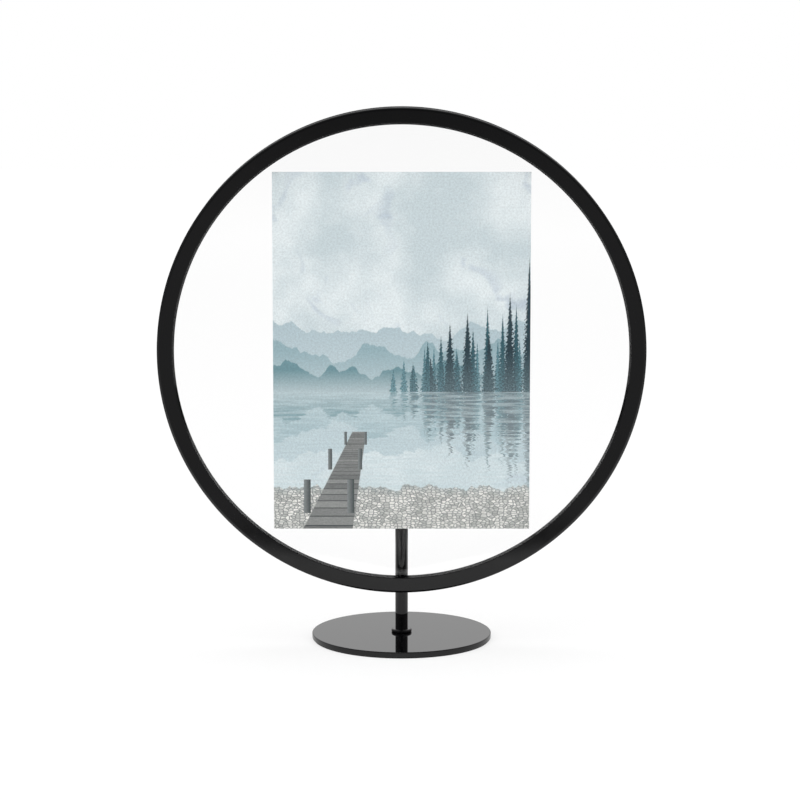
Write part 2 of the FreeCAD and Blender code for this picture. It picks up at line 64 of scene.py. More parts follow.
# --- colours and nodes -----------------------------------


def linear(colour: str) -> tuple[float, float, float, float]:
    """Turn an sRGB hex colour into linear light.

    Args:
        colour: Six hex digits after a hash.

    Returns:
        Linear red, green and blue, with an alpha of one.
    """
    levels = np.array([int(colour[at:at + 2], 16) for at in (1, 3, 5)]) / 255
    light = np.where(levels <= 0.04045, levels / 12.92, ((levels + 0.055) / 1.055) ** 2.4)
    return (*light.tolist(), 1.0)


class NodeSheet:
    """A node tree that is written one node at a time."""

    def __init__(self, tree: bpy.types.NodeTree) -> None:
        """Start on an empty tree."""
        self.tree = tree
        tree.nodes.clear()

    def add(self, kind: str, *inputs: Any, **settings: Any) -> bpy.types.Node:
        """Add a node with its settings, values and links.

        Args:
            kind: The node's type name without the word ShaderNode.
            *inputs: What goes into the node's visible inputs in their order. None leaves one as it is, a node or
                a socket is linked, and anything else is set as the value. A dict holds inputs by name.
            **settings: The node's own properties.

        Returns:
            The new node.
        """
        node = self.tree.nodes.new(f"ShaderNode{kind}")
        for name, setting in settings.items():
            setattr(node, name, setting)
        visible = [socket for socket in node.inputs if socket.enabled]
        for number, given in enumerate(inputs):
            named = given if isinstance(given, dict) else {visible[number].name: given}
            for name, content in named.items():
                if content is None:
                    continue
                socket = visible[number] if given is content else next(s for s in visible if s.name == name)
                if isinstance(content, bpy.types.Node):
                    content = next(s for s in content.outputs if s.enabled)
                if isinstance(content, bpy.types.NodeSocket):
                    self.tree.links.new(content, socket)
                else:
                    socket.default_value = content
        return node

    def math(self, operation: str, *inputs: Any) -> bpy.types.Node:
        """Add a node that calculates with its inputs."""
        return self.add("Math", *inputs, operation=operation)

    def mix(self, share: Any, first: Any, second: Any, kind: str = "RGBA") -> bpy.types.Node:
        """Add a node that goes from a first colour or number to a second as the share goes from nought to one."""
        return self.add("Mix", share, first, second, data_type=kind)

    def fit(self, given: Any, low: float, high: float, start: float = 0.0, end: float = 1.0,
            smooth: bool = False, clamp: bool = True) -> bpy.types.Node:
        """Add a node that goes from start to end as what it is given goes from low to high."""
        course = "SMOOTHSTEP" if smooth else "LINEAR"
        return self.add("MapRange", given, low, high, start, end, interpolation_type=course, clamp=clamp)

    def noise(self, place: Any, size: float, detail: float, space: str = "3D", **inputs: float) -> bpy.types.Node:
        """Add a noise of a size that is in the unit of its place."""
        return self.add("TexNoise", place, {"Scale": 1 / size, "Detail": detail, **inputs}, noise_dimensions=space)


# --- finishes --------------------------------------------


@dataclass(frozen=True)
class Finish:
    """A material made of nodes.

    Attributes:
        name: The material's common name and how its surface was made.
    """

    name: str

    def material(self) -> bpy.types.Material:
        """Build the material, or give it back if it has been built."""
        known = bpy.data.materials.get(self.name)
        if known is not None:
            return known
        made = bpy.data.materials.new(self.name)
        made.use_nodes = True
        sheet = NodeSheet(made.node_tree)
        sheet.add("OutputMaterial", self.surface(sheet))
        return made

    def surface(self, sheet: NodeSheet) -> bpy.types.Node:
        """Add the nodes of the surface and give the last shader."""
        raise NotImplementedError


@dataclass(frozen=True)
class Solid(Finish):
    """An opaque finish: a colour that clouds a little, a roughness that varies and a fine relief.

    Attributes:
        dark: Darker colour of the clouding.
        light: Lighter colour of the clouding.
        cloud_mm: Size of the clouding.
        smooth: Lowest roughness.
        rough: Highest roughness.
        grain_mm: Size of the relief.
        relief_mm: Height of the relief.
        metallic: One for bare metal.
        ior: Index of refraction of the coat or plastic.
        stretch: How much the relief is drawn out along each axis.
    """

    dark: str
    light: str
    cloud_mm: float
    smooth: float
    rough: float
    grain_mm: float
    relief_mm: float
    metallic: float = 0.0
    ior: float = 1.5
    stretch: tuple[float, float, float] = (1.0, 1.0, 1.0)

    def surface(self, sheet: NodeSheet) -> bpy.types.Node:
        """Cloud the colour with a broad noise, the gloss with a finer one, and raise a noise of the grain's size."""
        place = sheet.add("TexCoord").outputs["Object"]
        clouds = sheet.noise(place, self.cloud_mm * MM, 3.0)
        colour = sheet.mix(clouds, linear(self.dark), linear(self.light))
        wear = sheet.noise(place, self.cloud_mm * MM / 4, 2.0)
        gloss = sheet.fit(wear, *MOSTLY, self.smooth, self.rough)
        drawn = sheet.add("Mapping", place, {"Scale": self.stretch})
        grain = sheet.noise(drawn, self.grain_mm * MM, 2.0)
        relief = sheet.add("Bump", {"Strength": 1.0, "Distance": self.relief_mm * MM, "Height": grain})
        return sheet.add("BsdfPrincipled", {
            "Base Color": colour, "Metallic": self.metallic, "Roughness": gloss, "IOR": self.ior, "Normal": relief,
        })


@dataclass(frozen=True)
class Foam(Finish):
    """Closed-cell foam: matt, with a field of small open cells cut through its skin, each cell's pit darkened with
    painted shade.

    Attributes:
        skin: Colour of the skin.
        pit_shade: Colour inside the cells, painted shade that darkens their pits.
        cell_mm: Width of a cell.
        pit: Where a cell's pit starts to rise and where it ends, from its middle, as shares of the width.
        sunk: Depth of the pit, as a share of the width.
        rough: Roughness of the foam.
    """

    skin: str
    pit_shade: str
    cell_mm: float
    pit: tuple[float, float] = (0.15, 0.5)
    sunk: float = 0.1
    rough: float = 0.92

    def surface(self, sheet: NodeSheet) -> bpy.types.Node:
        """Sink the middle of each Voronoi cell and darken it with painted shade."""
        place = sheet.add("TexCoord").outputs["Object"]
        cells = sheet.add("TexVoronoi", place, {"Scale": 1 / (self.cell_mm * MM)})
        depth = sheet.fit(cells.outputs["Distance"], *self.pit)
        # The darker colour in each pit is painted shade; the same depth share also sinks the pit.
        colour = sheet.mix(depth, linear(self.pit_shade), linear(self.skin))
        relief = sheet.add("Bump", {"Strength": 1.0, "Distance": self.sunk * self.cell_mm * MM, "Height": depth})
        return sheet.add("BsdfPrincipled", {"Base Color": colour, "Roughness": self.rough, "Normal": relief})


@dataclass(frozen=True)
class ClearPane(Finish):
    """Coated picture glass: it passes nearly all light straight through and mirrors the rest.

    Attributes:
        ior: Index of refraction that gives the weak mirroring of the coating.
    """

    ior: float

    def surface(self, sheet: NodeSheet) -> bpy.types.Node:
        """Mix clear and mirror by Schlick's formula.

        The mirror's share is the head-on share plus the rest times the fifth power of one minus the cosine, which
        is the layer weight's facing at a blend of one half.
        """
        head_on = ((self.ior - 1) / (self.ior + 1)) ** 2
        facing = sheet.add("LayerWeight", 0.5).outputs["Facing"]
        rise = sheet.math("POWER", facing, 5.0)
        share = sheet.math("MULTIPLY_ADD", rise, 1 - head_on, head_on)
        clear = sheet.add("BsdfTransparent", WHITE)
        mirror = sheet.add("BsdfAnisotropic", {"Color": WHITE, "Roughness": 0.0})
        return sheet.add("MixShader", share, clear, mirror)


@dataclass(frozen=True)
class PaperBack(Finish):
    """Resin-coated back of a photo print: nearly white, matt, with the paper's faint fibre clouding.

    Attributes:
        dark: Darker colour of the clouding.
        light: Lighter colour of the clouding.
        fibre_mm: Size of the clouding.
        rough: Roughness of the coating.
    """

    dark: str = "#dcdcda"
    light: str = "#ecece9"
    fibre_mm: float = 1.5
    rough: float = 0.6

    def surface(self, sheet: NodeSheet) -> bpy.types.Node:
        """Cloud an off-white with a fine noise."""
        place = sheet.add("TexCoord").outputs["Object"]
        fibre = sheet.noise(place, self.fibre_mm * MM, 6.0)
        colour = sheet.mix(fibre, linear(self.dark), linear(self.light))
        return sheet.add("BsdfPrincipled", {"Base Color": colour, "Roughness": self.rough})


@dataclass(frozen=True)
class LakePicture(Finish):
    """Lustre photo print of a misty lake: ridges and firs over still water, a jetty and a pebble shore.

    Everything is placed in millimetres from the middle of the print: u to the right and v up.

    Attributes:
        centre_height: Height of the print's middle above the table.
        waterline: v of the far shore.
        shore: v of the pebble shore's edge.
        cloud: Size of the clouds.
        stain: Size of the blue stains between them.
        bough: Height of a fir's bough.
        sway: How far the ripples move the mirrored firs aside.
        veil: Share of haze over the water at the far shore and at the pebbles.
        pebble: Width of a pebble.
        flat: How much flatter than wide the pebbles look.
        grain: Size of the print's grain, coarser than a real one's, which no pixel could show.
        swing: How far the grain takes the colour up and down.
    """

    centre_height: float = 146.85
    waterline: float = -20.0
    shore: float = -68.0
    cloud: float = 42.0
    stain: float = 24.0
    bough: float = 2.3
    sway: float = 1.6
    veil: tuple[float, float] = (0.15, 0.5)
    pebble: float = 2.1
    flat: float = 1.7
    grain: float = 1.0
    swing: float = 0.16

    def surface(self, sheet: NodeSheet) -> bpy.types.Node:
        """Paint the picture from back to front and put it under a lustre surface."""
        place = sheet.add("TexCoord").outputs["Object"]
        print_mm = sheet.add("Mapping", place, {"Location": (0, 0, -self.centre_height), "Scale": (1 / MM,) * 3})
        parts = sheet.add("SeparateXYZ", print_mm)
        u, v = parts.outputs["X"], parts.outputs["Z"]
        colour = self.water(sheet, u, v)
        colour = self.pebbles(sheet, u, v, colour)
        colour = self.jetty(sheet, u, v, colour)
        grain = sheet.noise(sheet.add("CombineXYZ", u, v), self.grain, 4.0, "2D", Roughness=0.75)
        level = sheet.fit(grain, *NEARLY, 1 - self.swing, 1 + self.swing)
        colour = sheet.add("VectorMath", colour, level, operation="MULTIPLY")
        return sheet.add("BsdfPrincipled", {"Base Color": colour, "Roughness": 0.4})

    def landscape(self, sheet: NodeSheet, u: Any, v: Any) -> bpy.types.Node:
        """Paint sky, ridges and firs.

        Args:
            sheet: Where the nodes go.
            u: Distance to the right of the middle.
            v: Height above the middle, folded at the waterline.

        Returns:
            The node with the colour.
        """
        spot = sheet.add("CombineXYZ", u, v)
        broad = sheet.noise(spot, self.cloud, 5.0, "2D", Roughness=0.55)
        cloud = sheet.fit(broad, 0.36, 0.64)
        colour = sheet.mix(cloud, linear("#d3e0e4"), linear("#eef6f8"))
        blotch = sheet.noise(spot, self.stain, 3.0, "2D", Distortion=0.6)
        stain = sheet.fit(blotch, 0.62, 0.76, 0.0, 0.55)
        colour = sheet.mix(stain, colour, linear("#b4c3d3"))
        ridges = (  # middle height, swing, length of a rise, seed, colour
            (12.0, 22.0, 46.0, 3.1, "#bccfd6"),
            (1.0, 17.0, 30.0, 17.7, "#9dbac2"),
            (-9.0, 12.0, 21.0, 41.3, "#739ba4"),
        )
        for middle, swing, length, seed, shade in ridges:
            along = sheet.math("MULTIPLY_ADD", u, 1 / length, seed)
            rise = sheet.noise(along, 1.0, 7.0, "1D", Roughness=0.5)
            crest = sheet.fit(rise, *NEARLY, middle - swing / 2, middle + swing / 2, clamp=False)
            above = sheet.math("SUBTRACT", crest, v)
            mask = sheet.fit(above, -0.25, 0.25)
            low = sheet.math("SUBTRACT", v, self.waterline)
            mist = sheet.fit(low, 0.0, middle - self.waterline, 0.62, 0.0)
            body = sheet.mix(mist, linear(shade), linear("#dbe6e9"))
            colour = sheet.mix(mask, colour, body)
        stands = (  # first and last u, spacing, offset, lowest and highest fir, colour
            (-6.0, 70.0, 5.2, 0.37, 18.0, 42.0, "#4d7d88"),
            (4.0, 70.0, 7.4, 0.81, 22.0, 60.0, "#235763"),
            (14.0, 70.0, 9.8, 0.12, 28.0, 76.0, "#0f3542"),
        )
        for first, last, spacing, offset, least, most, shade in stands:
            mask = self.firs(sheet, u, v, first, last, spacing, offset, least, most)
            low = sheet.math("SUBTRACT", v, self.waterline)
            mist = sheet.fit(low, 0.0, 20.0, 0.25, 0.0)
            body = sheet.mix(mist, linear(shade), linear("#a9c4ca"))
            leaf = sheet.noise(spot, 0.7, 3.0, "2D")
            body = sheet.add("VectorMath", body, sheet.fit(leaf, *MOSTLY, 0.6, 1.5), operation="MULTIPLY")
            colour = sheet.mix(mask, colour, body)
        return colour

    def firs(self, sheet: NodeSheet, u: Any, v: Any, first: float, last: float, spacing: float, offset: float,
             least: float, most: float) -> bpy.types.Node:
        """Mask a stand of firs, one to each stretch of the shore.

        A fir is as wide at a height as its distance below the tip, times a saw whose teeth are the boughs and a
        fine noise that frays them. Its height and its place in its stretch are random, and the stand grows from its
        first to its last end.

        Args:
            sheet: Where the nodes go.
            u: Distance to the right of the middle.
            v: Height above the middle.
            first: u where the stand starts.
            last: u where it is highest.
            spacing: Width of a stretch.
            offset: Shift of the stretches, as a share of one.
            least: Height of a fir where the stand starts.
            most: Height of a fir at the other end.

        Returns:
            The node with the mask.
        """
        along = sheet.math("MULTIPLY_ADD", u, 1 / spacing, offset)
        stretch = sheet.math("FLOOR", along)
        chance = sheet.add("TexWhiteNoise", stretch, noise_dimensions="1D")
        other = sheet.add("TexWhiteNoise", sheet.math("ADD", stretch, 0.5), noise_dimensions="1D")
        shift = sheet.fit(other.outputs["Value"], 0.0, 1.0, 0.42, 0.58)
        inside = sheet.math("FRACT", along)
        aside = sheet.math("ABSOLUTE", sheet.math("SUBTRACT", inside, shift))
        grown = sheet.fit(u, first, last, least, most)
        height = sheet.math("MULTIPLY", grown, sheet.fit(chance.outputs["Value"], 0.0, 1.0, 0.55, 1.0))
        tip = sheet.math("ADD", height, self.waterline)
        below = sheet.math("SUBTRACT", tip, v)
        tooth = sheet.math("FRACT", sheet.math("MULTIPLY_ADD", below, 1 / self.bough, chance.outputs["Value"]))
        bough = sheet.fit(tooth, 0.0, 1.0, 0.55, 1.0)
        taper = sheet.math("MULTIPLY", sheet.math("DIVIDE", below, height), 0.5)
        needles = sheet.noise(sheet.add("CombineXYZ", u, v), 0.9, 4.0, "2D")
        ragged = sheet.math("MULTIPLY", bough, sheet.fit(needles, *MOSTLY, 0.5, 1.3))
        half = sheet.math("MULTIPLY", taper, ragged)
        room = sheet.math("SUBTRACT", half, aside)
        mask = sheet.fit(room, -0.01, 0.02)
        started = sheet.math("GREATER_THAN", u, first)
        return sheet.math("MULTIPLY", mask, started)

    def water(self, sheet: NodeSheet, u: Any, v: Any) -> bpy.types.Node:
        """Fold the landscape at the waterline, so that the lake mirrors it, and lay ripples over the lower half."""
        from_line = sheet.math("SUBTRACT", v, self.waterline)
        folded = sheet.math("ADD", sheet.math("ABSOLUTE", from_line), self.waterline)
        wet = sheet.math("LESS_THAN", from_line, 0.0)
        streak_place = sheet.add("CombineXYZ", sheet.math("MULTIPLY", u, 0.05), sheet.math("MULTIPLY", v, 0.9))
        streak = sheet.noise(streak_place, 1.0, 4.0, "2D")
        sway = sheet.math("MULTIPLY", sheet.fit(streak, *MOSTLY, -self.sway, self.sway), wet)
        swayed = sheet.math("ADD", u, sway)
        colour = self.landscape(sheet, swayed, folded)
        veil = sheet.fit(from_line, 0.0, self.shore - self.waterline, *self.veil)
        sheen = sheet.fit(streak, 0.42, 0.62, 0.0, 0.35)
        haze = sheet.math("MULTIPLY", sheet.math("ADD", veil, sheen), wet)
        return sheet.mix(haze, colour, linear("#d3e3e7"))

    def pebbles(self, sheet: NodeSheet, u: Any, v: Any, behind: bpy.types.Node) -> bpy.types.Node:
        """Lay a strip of grey pebbles, flattened by the low view, along the bottom."""
        stones_place = sheet.add("CombineXYZ", u, sheet.math("MULTIPLY", v, self.flat))
        stones = sheet.add("TexVoronoi", stones_place, {"Scale": 1 / self.pebble}, voronoi_dimensions="2D")
        joints = sheet.add("TexVoronoi", stones_place, {"Scale": 1 / self.pebble}, voronoi_dimensions="2D",
                           feature="DISTANCE_TO_EDGE")
        shade = sheet.add("SeparateXYZ", stones.outputs["Color"]).outputs["X"]
        tone = sheet.mix(shade, linear("#b9bbb8"), linear("#fbfaf6"))
        joint = sheet.fit(joints, 0.02, 0.16)
        colour = sheet.mix(joint, linear("#7b8180"), tone)
        edge = sheet.noise(u, 9, 5.0, "1D")
        top = sheet.fit(edge, *NEARLY, self.shore - 3.0, self.shore + 3.0)
        inside = sheet.math("SUBTRACT", top, v)
        damp = sheet.fit(inside, 0.0, 4.0, 0.35, 0.0)
        colour = sheet.mix(damp, colour, linear("#8fa3a6"))
        mask = sheet.fit(inside, -0.3, 0.3)
        return sheet.mix(mask, behind, colour)

    def jetty(self, sheet: NodeSheet, u: Any, v: Any, behind: bpy.types.Node) -> bpy.types.Node:
        """Run a plank jetty out from the lower left.

        Its middle and its half width are straight lines in v that meet at the waterline, and the planks are evenly
        spaced in distance, which is one over the depth below the waterline.
        """
        end, foot, planks, gap_share = -40.0, -90.0, 880.0, 0.12
        middle = sheet.fit(v, foot, end, -37.0, -21.0, clamp=False)
        half = sheet.fit(v, foot, end, 12.5, 3.4, clamp=False)
        aside = sheet.math("ABSOLUTE", sheet.math("SUBTRACT", u, middle))
        room = sheet.math("SUBTRACT", half, aside)
        mask = sheet.math("MULTIPLY", sheet.fit(room, -0.2, 0.2), sheet.math("LESS_THAN", v, end))
        depth = sheet.math("SUBTRACT", self.waterline, v)
        rank = sheet.math("DIVIDE", planks, depth)
        plank = sheet.add("TexWhiteNoise", sheet.math("FLOOR", rank), noise_dimensions="1D")
        gap = sheet.math("LESS_THAN", sheet.math("FRACT", rank), gap_share)
        fibre_place = sheet.add("CombineXYZ", sheet.math("MULTIPLY", u, 0.25), sheet.math("MULTIPLY", v, 3.0))
        fibre = sheet.noise(fibre_place, 1.0, 5.0, "2D")
        shade = sheet.math("ADD", sheet.math("MULTIPLY", plank.outputs["Value"], 0.55),
                           sheet.math("MULTIPLY", fibre, 0.6))
        wood = sheet.mix(shade, linear("#5f6263"), linear("#a2a4a2"))
        deck = sheet.mix(gap, wood, linear("#4b5152"))
        colour = sheet.mix(mask, behind, deck)
        posts = (  # u of the middle, v of the foot, width, height
            (-46.9, -81.0, 3.4, 17.0), (-25.3, -81.0, 3.4, 17.0), (-35.5, -59.0, 2.0, 10.5),
            (-20.6, -59.0, 2.0, 10.5), (-27.8, -46.5, 1.3, 6.5), (-17.9, -46.5, 1.3, 6.5),
        )
        for across, base, width, height in posts:
            beside = sheet.math("ABSOLUTE", sheet.math("SUBTRACT", u, across))
            wide = sheet.math("LESS_THAN", beside, width / 2)
            up = sheet.math("ABSOLUTE", sheet.math("SUBTRACT", v, base + height / 2))
            tall = sheet.math("LESS_THAN", up, height / 2)
            post = sheet.math("MULTIPLY", wide, tall)
            lit = sheet.fit(sheet.math("SUBTRACT", u, across), -width / 2, width / 2, 1.0, 0.0)
            round_wood = sheet.mix(lit, linear("#3c4647"), linear("#8b9192"))
            colour = sheet.mix(post, colour, round_wood)
        return colour


class Finishes(Enum):
    """The finishes of the frame, each named for its real material.

    A solid finish's numbers are the clouding's size, the least and most roughness, and the relief's size and height.
    """

    # Baked gloss enamel on steel: a deep black mirror with a trace of orange peel.
    GLOSS_ENAMEL = Solid("baked_gloss_enamel", "#060607", "#080809", 30.0, 0.012, 0.03, 1.6, 0.0006)
    # The same enamel on the drawn rings, a little softer, so that edges shine in soft bands.
    RING_ENAMEL = Solid("baked_satin_enamel", "#050506", "#070708", 30.0, 0.08, 0.12, 1.2, 0.0015)
    # Front pane, picture glass with a thin coating: clear, with a weak mirror image of the floor and the room.
    GLASS = ClearPane("picture_glass", 1.42)
    # Rear pane, with a full anti-reflective coating.
    COATED_GLASS = ClearPane("coated_picture_glass", 1.12)
    # Lustre photo paper with the picture.
    PICTURE = LakePicture("lustre_print")
    # Back of the photo paper.
    PAPER = PaperBack("photo_paper_back")
    # Closed-cell EVA foam under the base; its second colour is painted shade in the cells' pits.
    FOAM = Foam("eva_foam", "#161617", "#0a0a0a", 0.6)
    # Acrylic foam tape and gasket that bed the panes, and the bonding disc; its second colour is painted shade in the
    # cells' pits.
    TAPE = Foam("acrylic_foam_tape", "#1c1c1d", "#0b0b0b", 0.3)
    # Bright zinc plating on turned steel: cool grey with fine turning marks.
    ZINC = Solid("zinc_plated_steel", "#a5a9ad", "#b6b9bc", 6.0, 0.22, 0.34, 0.25, 0.002, 1.0, stretch=(1, 4, 1))
    # Black oxide on steel: dark, slightly brown, low sheen.
    BLACK_OXIDE = Solid("black_oxided_steel", "#2b2a2b", "#363433", 5.0, 0.32, 0.45, 0.3, 0.002, 1.0)
    # Nickel plating on the magnets: warm bright grey.
    NICKEL = Solid("nickel_plated_magnet", "#bfb9af", "#cbc6bc", 4.0, 0.12, 0.2, 0.3, 0.001, 1.0)
    # Moulded acetal: milky white, slippery sheen.
    ACETAL = Solid("moulded_acetal", "#dddcd6", "#e6e5e0", 8.0, 0.3, 0.4, 0.6, 0.002, ior=1.48)
    # Moulded ABS with a fine spark-eroded texture on the hub's cap.
    ABS = Solid("textured_abs", "#161617", "#1b1b1c", 12.0, 0.42, 0.52, 0.45, 0.012, ior=1.54)


# --- shapes ----------------------------------------------


@dataclass(frozen=True)
class Corner:
    """A corner of a turned outline.

    Attributes:
        radius: Distance from the axis.
        along: Place along the axis.
        round: Radius of the rounding.
    """

    radius: float
    along: float
    round: float = 0.0


class Axis(Enum):
    """The axis that an outline is turned round."""

    UPRIGHT = "Z"
    DEPTH = "Y"


def rounded_outline(corners: Sequence[Corner], closed: bool, steps: int = 10, guard: float = 0.06) -> np.ndarray:
    """Round the corners of an outline.

    At a corner whose sides meet at an angle, the arc touches each side at the rounding's radius divided by the
    tangent of half that angle, and its centre lies on the bisector. A guard point a little way along each side
    keeps the flat beside it flat when it is shaded smooth.

    Args:
        corners: The outline's corners in order.
        closed: Whether the last corner joins the first. If not, both stay sharp.
        steps: Points on each arc.
        guard: Distance of a guard point from its arc.

    Returns:
        Rows of radius and place along the axis.
    """
    spots = np.array([(corner.radius, corner.along) for corner in corners])
    rows: list[np.ndarray] = []
    for number, corner in enumerate(corners):
        here = spots[number]
        at_end = not closed and number in (0, len(corners) - 1)
        if corner.round <= 0 or at_end:
            rows.append(here[None])
            continue
        back = spots[number - 1] - here
        ahead = spots[(number + 1) % len(corners)] - here
        back, ahead = back / np.linalg.norm(back), ahead / np.linalg.norm(ahead)
        half = math.acos(float(np.clip(back @ ahead, -1, 1))) / 2
        leg = corner.round / math.tan(half)
        middle = here + (back + ahead) / np.linalg.norm(back + ahead) * corner.round / math.sin(half)
        start, stop = here + back * leg - middle, here + ahead * leg - middle
        sweep = math.atan2(start[0] * stop[1] - start[1] * stop[0], start @ stop)
        turn = math.atan2(start[1], start[0]) + np.linspace(0, 1, steps) * sweep
        arc = middle + corner.round * np.column_stack((np.cos(turn), np.sin(turn)))
        rows += [(here + back * (leg + guard))[None], arc, (here + ahead * (leg + guard))[None]]
    return np.concatenate(rows)


def turned(outline: np.ndarray, closed: bool, axis: Axis, centre: np.ndarray,
           segments: int) -> tuple[np.ndarray, list[list[int]]]:
    """Turn an outline round an axis.

    A point at radius r and place a goes to r times the cosine and r times the sine of the turn, across the axis,
    and a along it. Where an open outline starts or ends on the axis, the whole turn is one point there.

    Args:
        outline: Rows of radius and place along the axis.
        closed: Whether the outline's last point joins its first.
        axis: The axis.
        centre: A point on the axis, from which places along it count.
        segments: Steps of the turn.

    Returns:
        The points, and the faces as lists of point numbers.
    """
    turn = np.arange(segments) * 2 * np.pi / segments
    radius, along = outline[:, :1], outline[:, 1:] + 0 * turn
    across, up = radius * np.cos(turn), radius * np.sin(turn)
    grid = np.stack((across, up, along) if axis is Axis.UPRIGHT else (across, along, up), axis=-1)
    number = np.arange(outline.shape[0] * segments).reshape(-1, segments)
    poles = [] if closed else [row for row in (0, -1) if outline[row, 0] == 0]
    for row in poles:
        number[row] = number[row, 0]
    low = number if closed else number[:-1]
    high = np.roll(number, -1, axis=0) if closed else number[1:]
    quads = np.stack((low, np.roll(low, -1, axis=1), np.roll(high, -1, axis=1), high), axis=-1).reshape(-1, 4)
    used = np.unique(quads)
    quads = np.searchsorted(used, quads)
    fan_low, fan_high = quads[:, 0] == quads[:, 1], quads[:, 2] == quads[:, 3]
    faces = quads[~(fan_low | fan_high)].tolist()
    faces += quads[fan_low][:, [0, 2, 3]].tolist() + quads[fan_high][:, [0, 1, 2]].tolist()
    return grid.reshape(-1, 3)[used] + centre, faces


def sheet_between(half_width: float, half_height: float, front: float, back: float, middle: float,
                  columns: int = 24, rows: int = 34, ripple: float = 0.02) -> tuple[np.ndarray, list[list[int]], int]:
    """Make a sheet of paper that stands upright, with a front grid, a back grid and an edge that joins them.

    Both grids lie ahead of their own plane by the ripple times one and a half plus the sine along the width times
    the sine along the height, so that the sheet has the faint wave of paper and stays clear of the pane behind it.

    Args:
        half_width: Half of its width.
        half_height: Half of its height.
        front: Place of its front along Y.
        back: Place of its back along Y.
        middle: Height of its middle.
        columns: Steps across.
        rows: Steps up.
        ripple: Height of the wave.

    Returns:
        The points, the faces, and how many of the faces, from the first, are the front.
    """
    across, up = np.meshgrid(np.linspace(-1, 1, columns + 1), np.linspace(-1, 1, rows + 1))
    wave = -ripple * (1.5 + np.sin(2 * np.pi * across) * np.sin(1.5 * np.pi * (up + 1)))
    layers = [np.stack((half_width * across, place + wave, middle + half_height * up), axis=-1).reshape(-1, 3)
              for place in (front, back)]
    number = np.arange((columns + 1) * (rows + 1)).reshape(rows + 1, columns + 1)
    quads = np.stack((number[:-1, :-1], number[:-1, 1:], number[1:, 1:], number[1:, :-1]), axis=-1).reshape(-1, 4)
    rim = np.concatenate((number[0, :-1], number[:-1, -1], number[-1, :0:-1], number[:0:-1, 0]))
    after = np.roll(rim, -1)
    edge = np.column_stack((rim, rim + number.size, after + number.size, after))
    faces = np.concatenate((quads, quads[:, ::-1] + number.size, edge)).tolist()
    return np.concatenate(layers), faces, len(quads)


def outward(points: np.ndarray, faces: list[list[int]]) -> list[list[int]]:
    """Turn a closed mesh's faces outward: where its signed volume is below zero, each face is read backwards."""
    triangles = np.array([(face[0], face[at], face[at + 1]) for face in faces for at in range(1, len(face) - 1)])
    first, second, third = (points[triangles[:, corner]] for corner in range(3))
    volume = np.einsum("ij,ij->i", first, np.cross(second, third)).sum()
    return faces if volume > 0 else [face[::-1] for face in faces]


def new_piece(name: str, points: np.ndarray, faces: list[list[int]], body: str, node: str,
              finish: Finish) -> bpy.types.Object:
    """Make a finished piece that stands for a CAD node.

    Args:
        name: The piece's name.
        points: Its points in millimetres.
        faces: Its faces.
        body: The CAD body that it rides on.
        node: The CAD node that it replaces.
        finish: What it is dressed in.

    Returns:
        The new object.
    """
    mesh = bpy.data.meshes.new(name)
    mesh.from_pydata((points * MM).tolist(), [], outward(points, faces))
    mesh.shade_smooth()
    mesh.materials.append(finish.material())
    piece = bpy.data.objects.new(name, mesh)
    bpy.context.scene.collection.objects.link(piece)
    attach(piece, body)
    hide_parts(node)
    log.info("%s: %d faces on %s", name, len(faces), body)
    return piece


def dress(node: str, finish: Finish) -> None:
    """Put a finish on a CAD node that stays as it is."""
    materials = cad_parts[node].data.materials
    materials.clear()
    materials.append(finish.material())
    log.info("%s: dressed in %s", node, finish.name)


def reach(node: str) -> tuple[np.ndarray, np.ndarray]:
    """Give a CAD node's lowest and highest corners in millimetres."""
    low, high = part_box(node)
    return np.array(low) / MM, np.array(high) / MM


# --- sub-assemblies --------------------------------------


@dataclass
class Stand:
    """Base, stem and their fixings.

    Attributes:
        rim_round: Round on the base disc's upper edge.
        foot_round: Round on its lower edge.
        bead_round: Round on top of the bead at the stem's foot.
        bead_foot: Round under it.
        rod_round: Round on the rod's ends.
        bore_round: Round on the bead's bore.
        bore_gap: Gap between the bead and the rod.
        disc_segments: Steps of a full turn of the disc.
        rod_segments: Steps of a full turn of the rod and the bead.
    """

    rim_round: float = 0.45
    foot_round: float = 0.25
    bead_round: float = 0.8
    bead_foot: float = 0.45
    rod_round: float = 0.35
    bore_round: float = 0.05
    bore_gap: float = 0.05
    disc_segments: int = 240
    rod_segments: int = 96

    def build(self) -> None:
        """Turn the disc, the rod and the bead, and dress the pad and the screw."""
        bore = reach("stem_rod")[1][0] + self.bore_gap
        for node, inner, under, over, segments in (
            ("base_disc", 0.0, self.foot_round, self.rim_round, self.disc_segments),
            ("stem_rod", 0.0, self.rod_round, self.rod_round, self.rod_segments),
            ("stem_collar", bore, self.bead_foot, self.bead_round, self.rod_segments),
        ):
            low, high = reach(node)
            bored = inner > 0
            points, faces = turned(rounded_outline([
                Corner(inner, low[2], self.bore_round), Corner(high[0], low[2], under),
                Corner(high[0], high[2], over), Corner(inner, high[2], self.bore_round),
            ], bored), bored, Axis.UPRIGHT, np.zeros(3), segments)
            new_piece(f"{node}_enamelled", points, faces, "stand", node,
                      Finishes.GLOSS_ENAMEL.value)
        dress("base_pad", Finishes.FOAM.value)
        dress("base_screw", Finishes.ZINC.value)


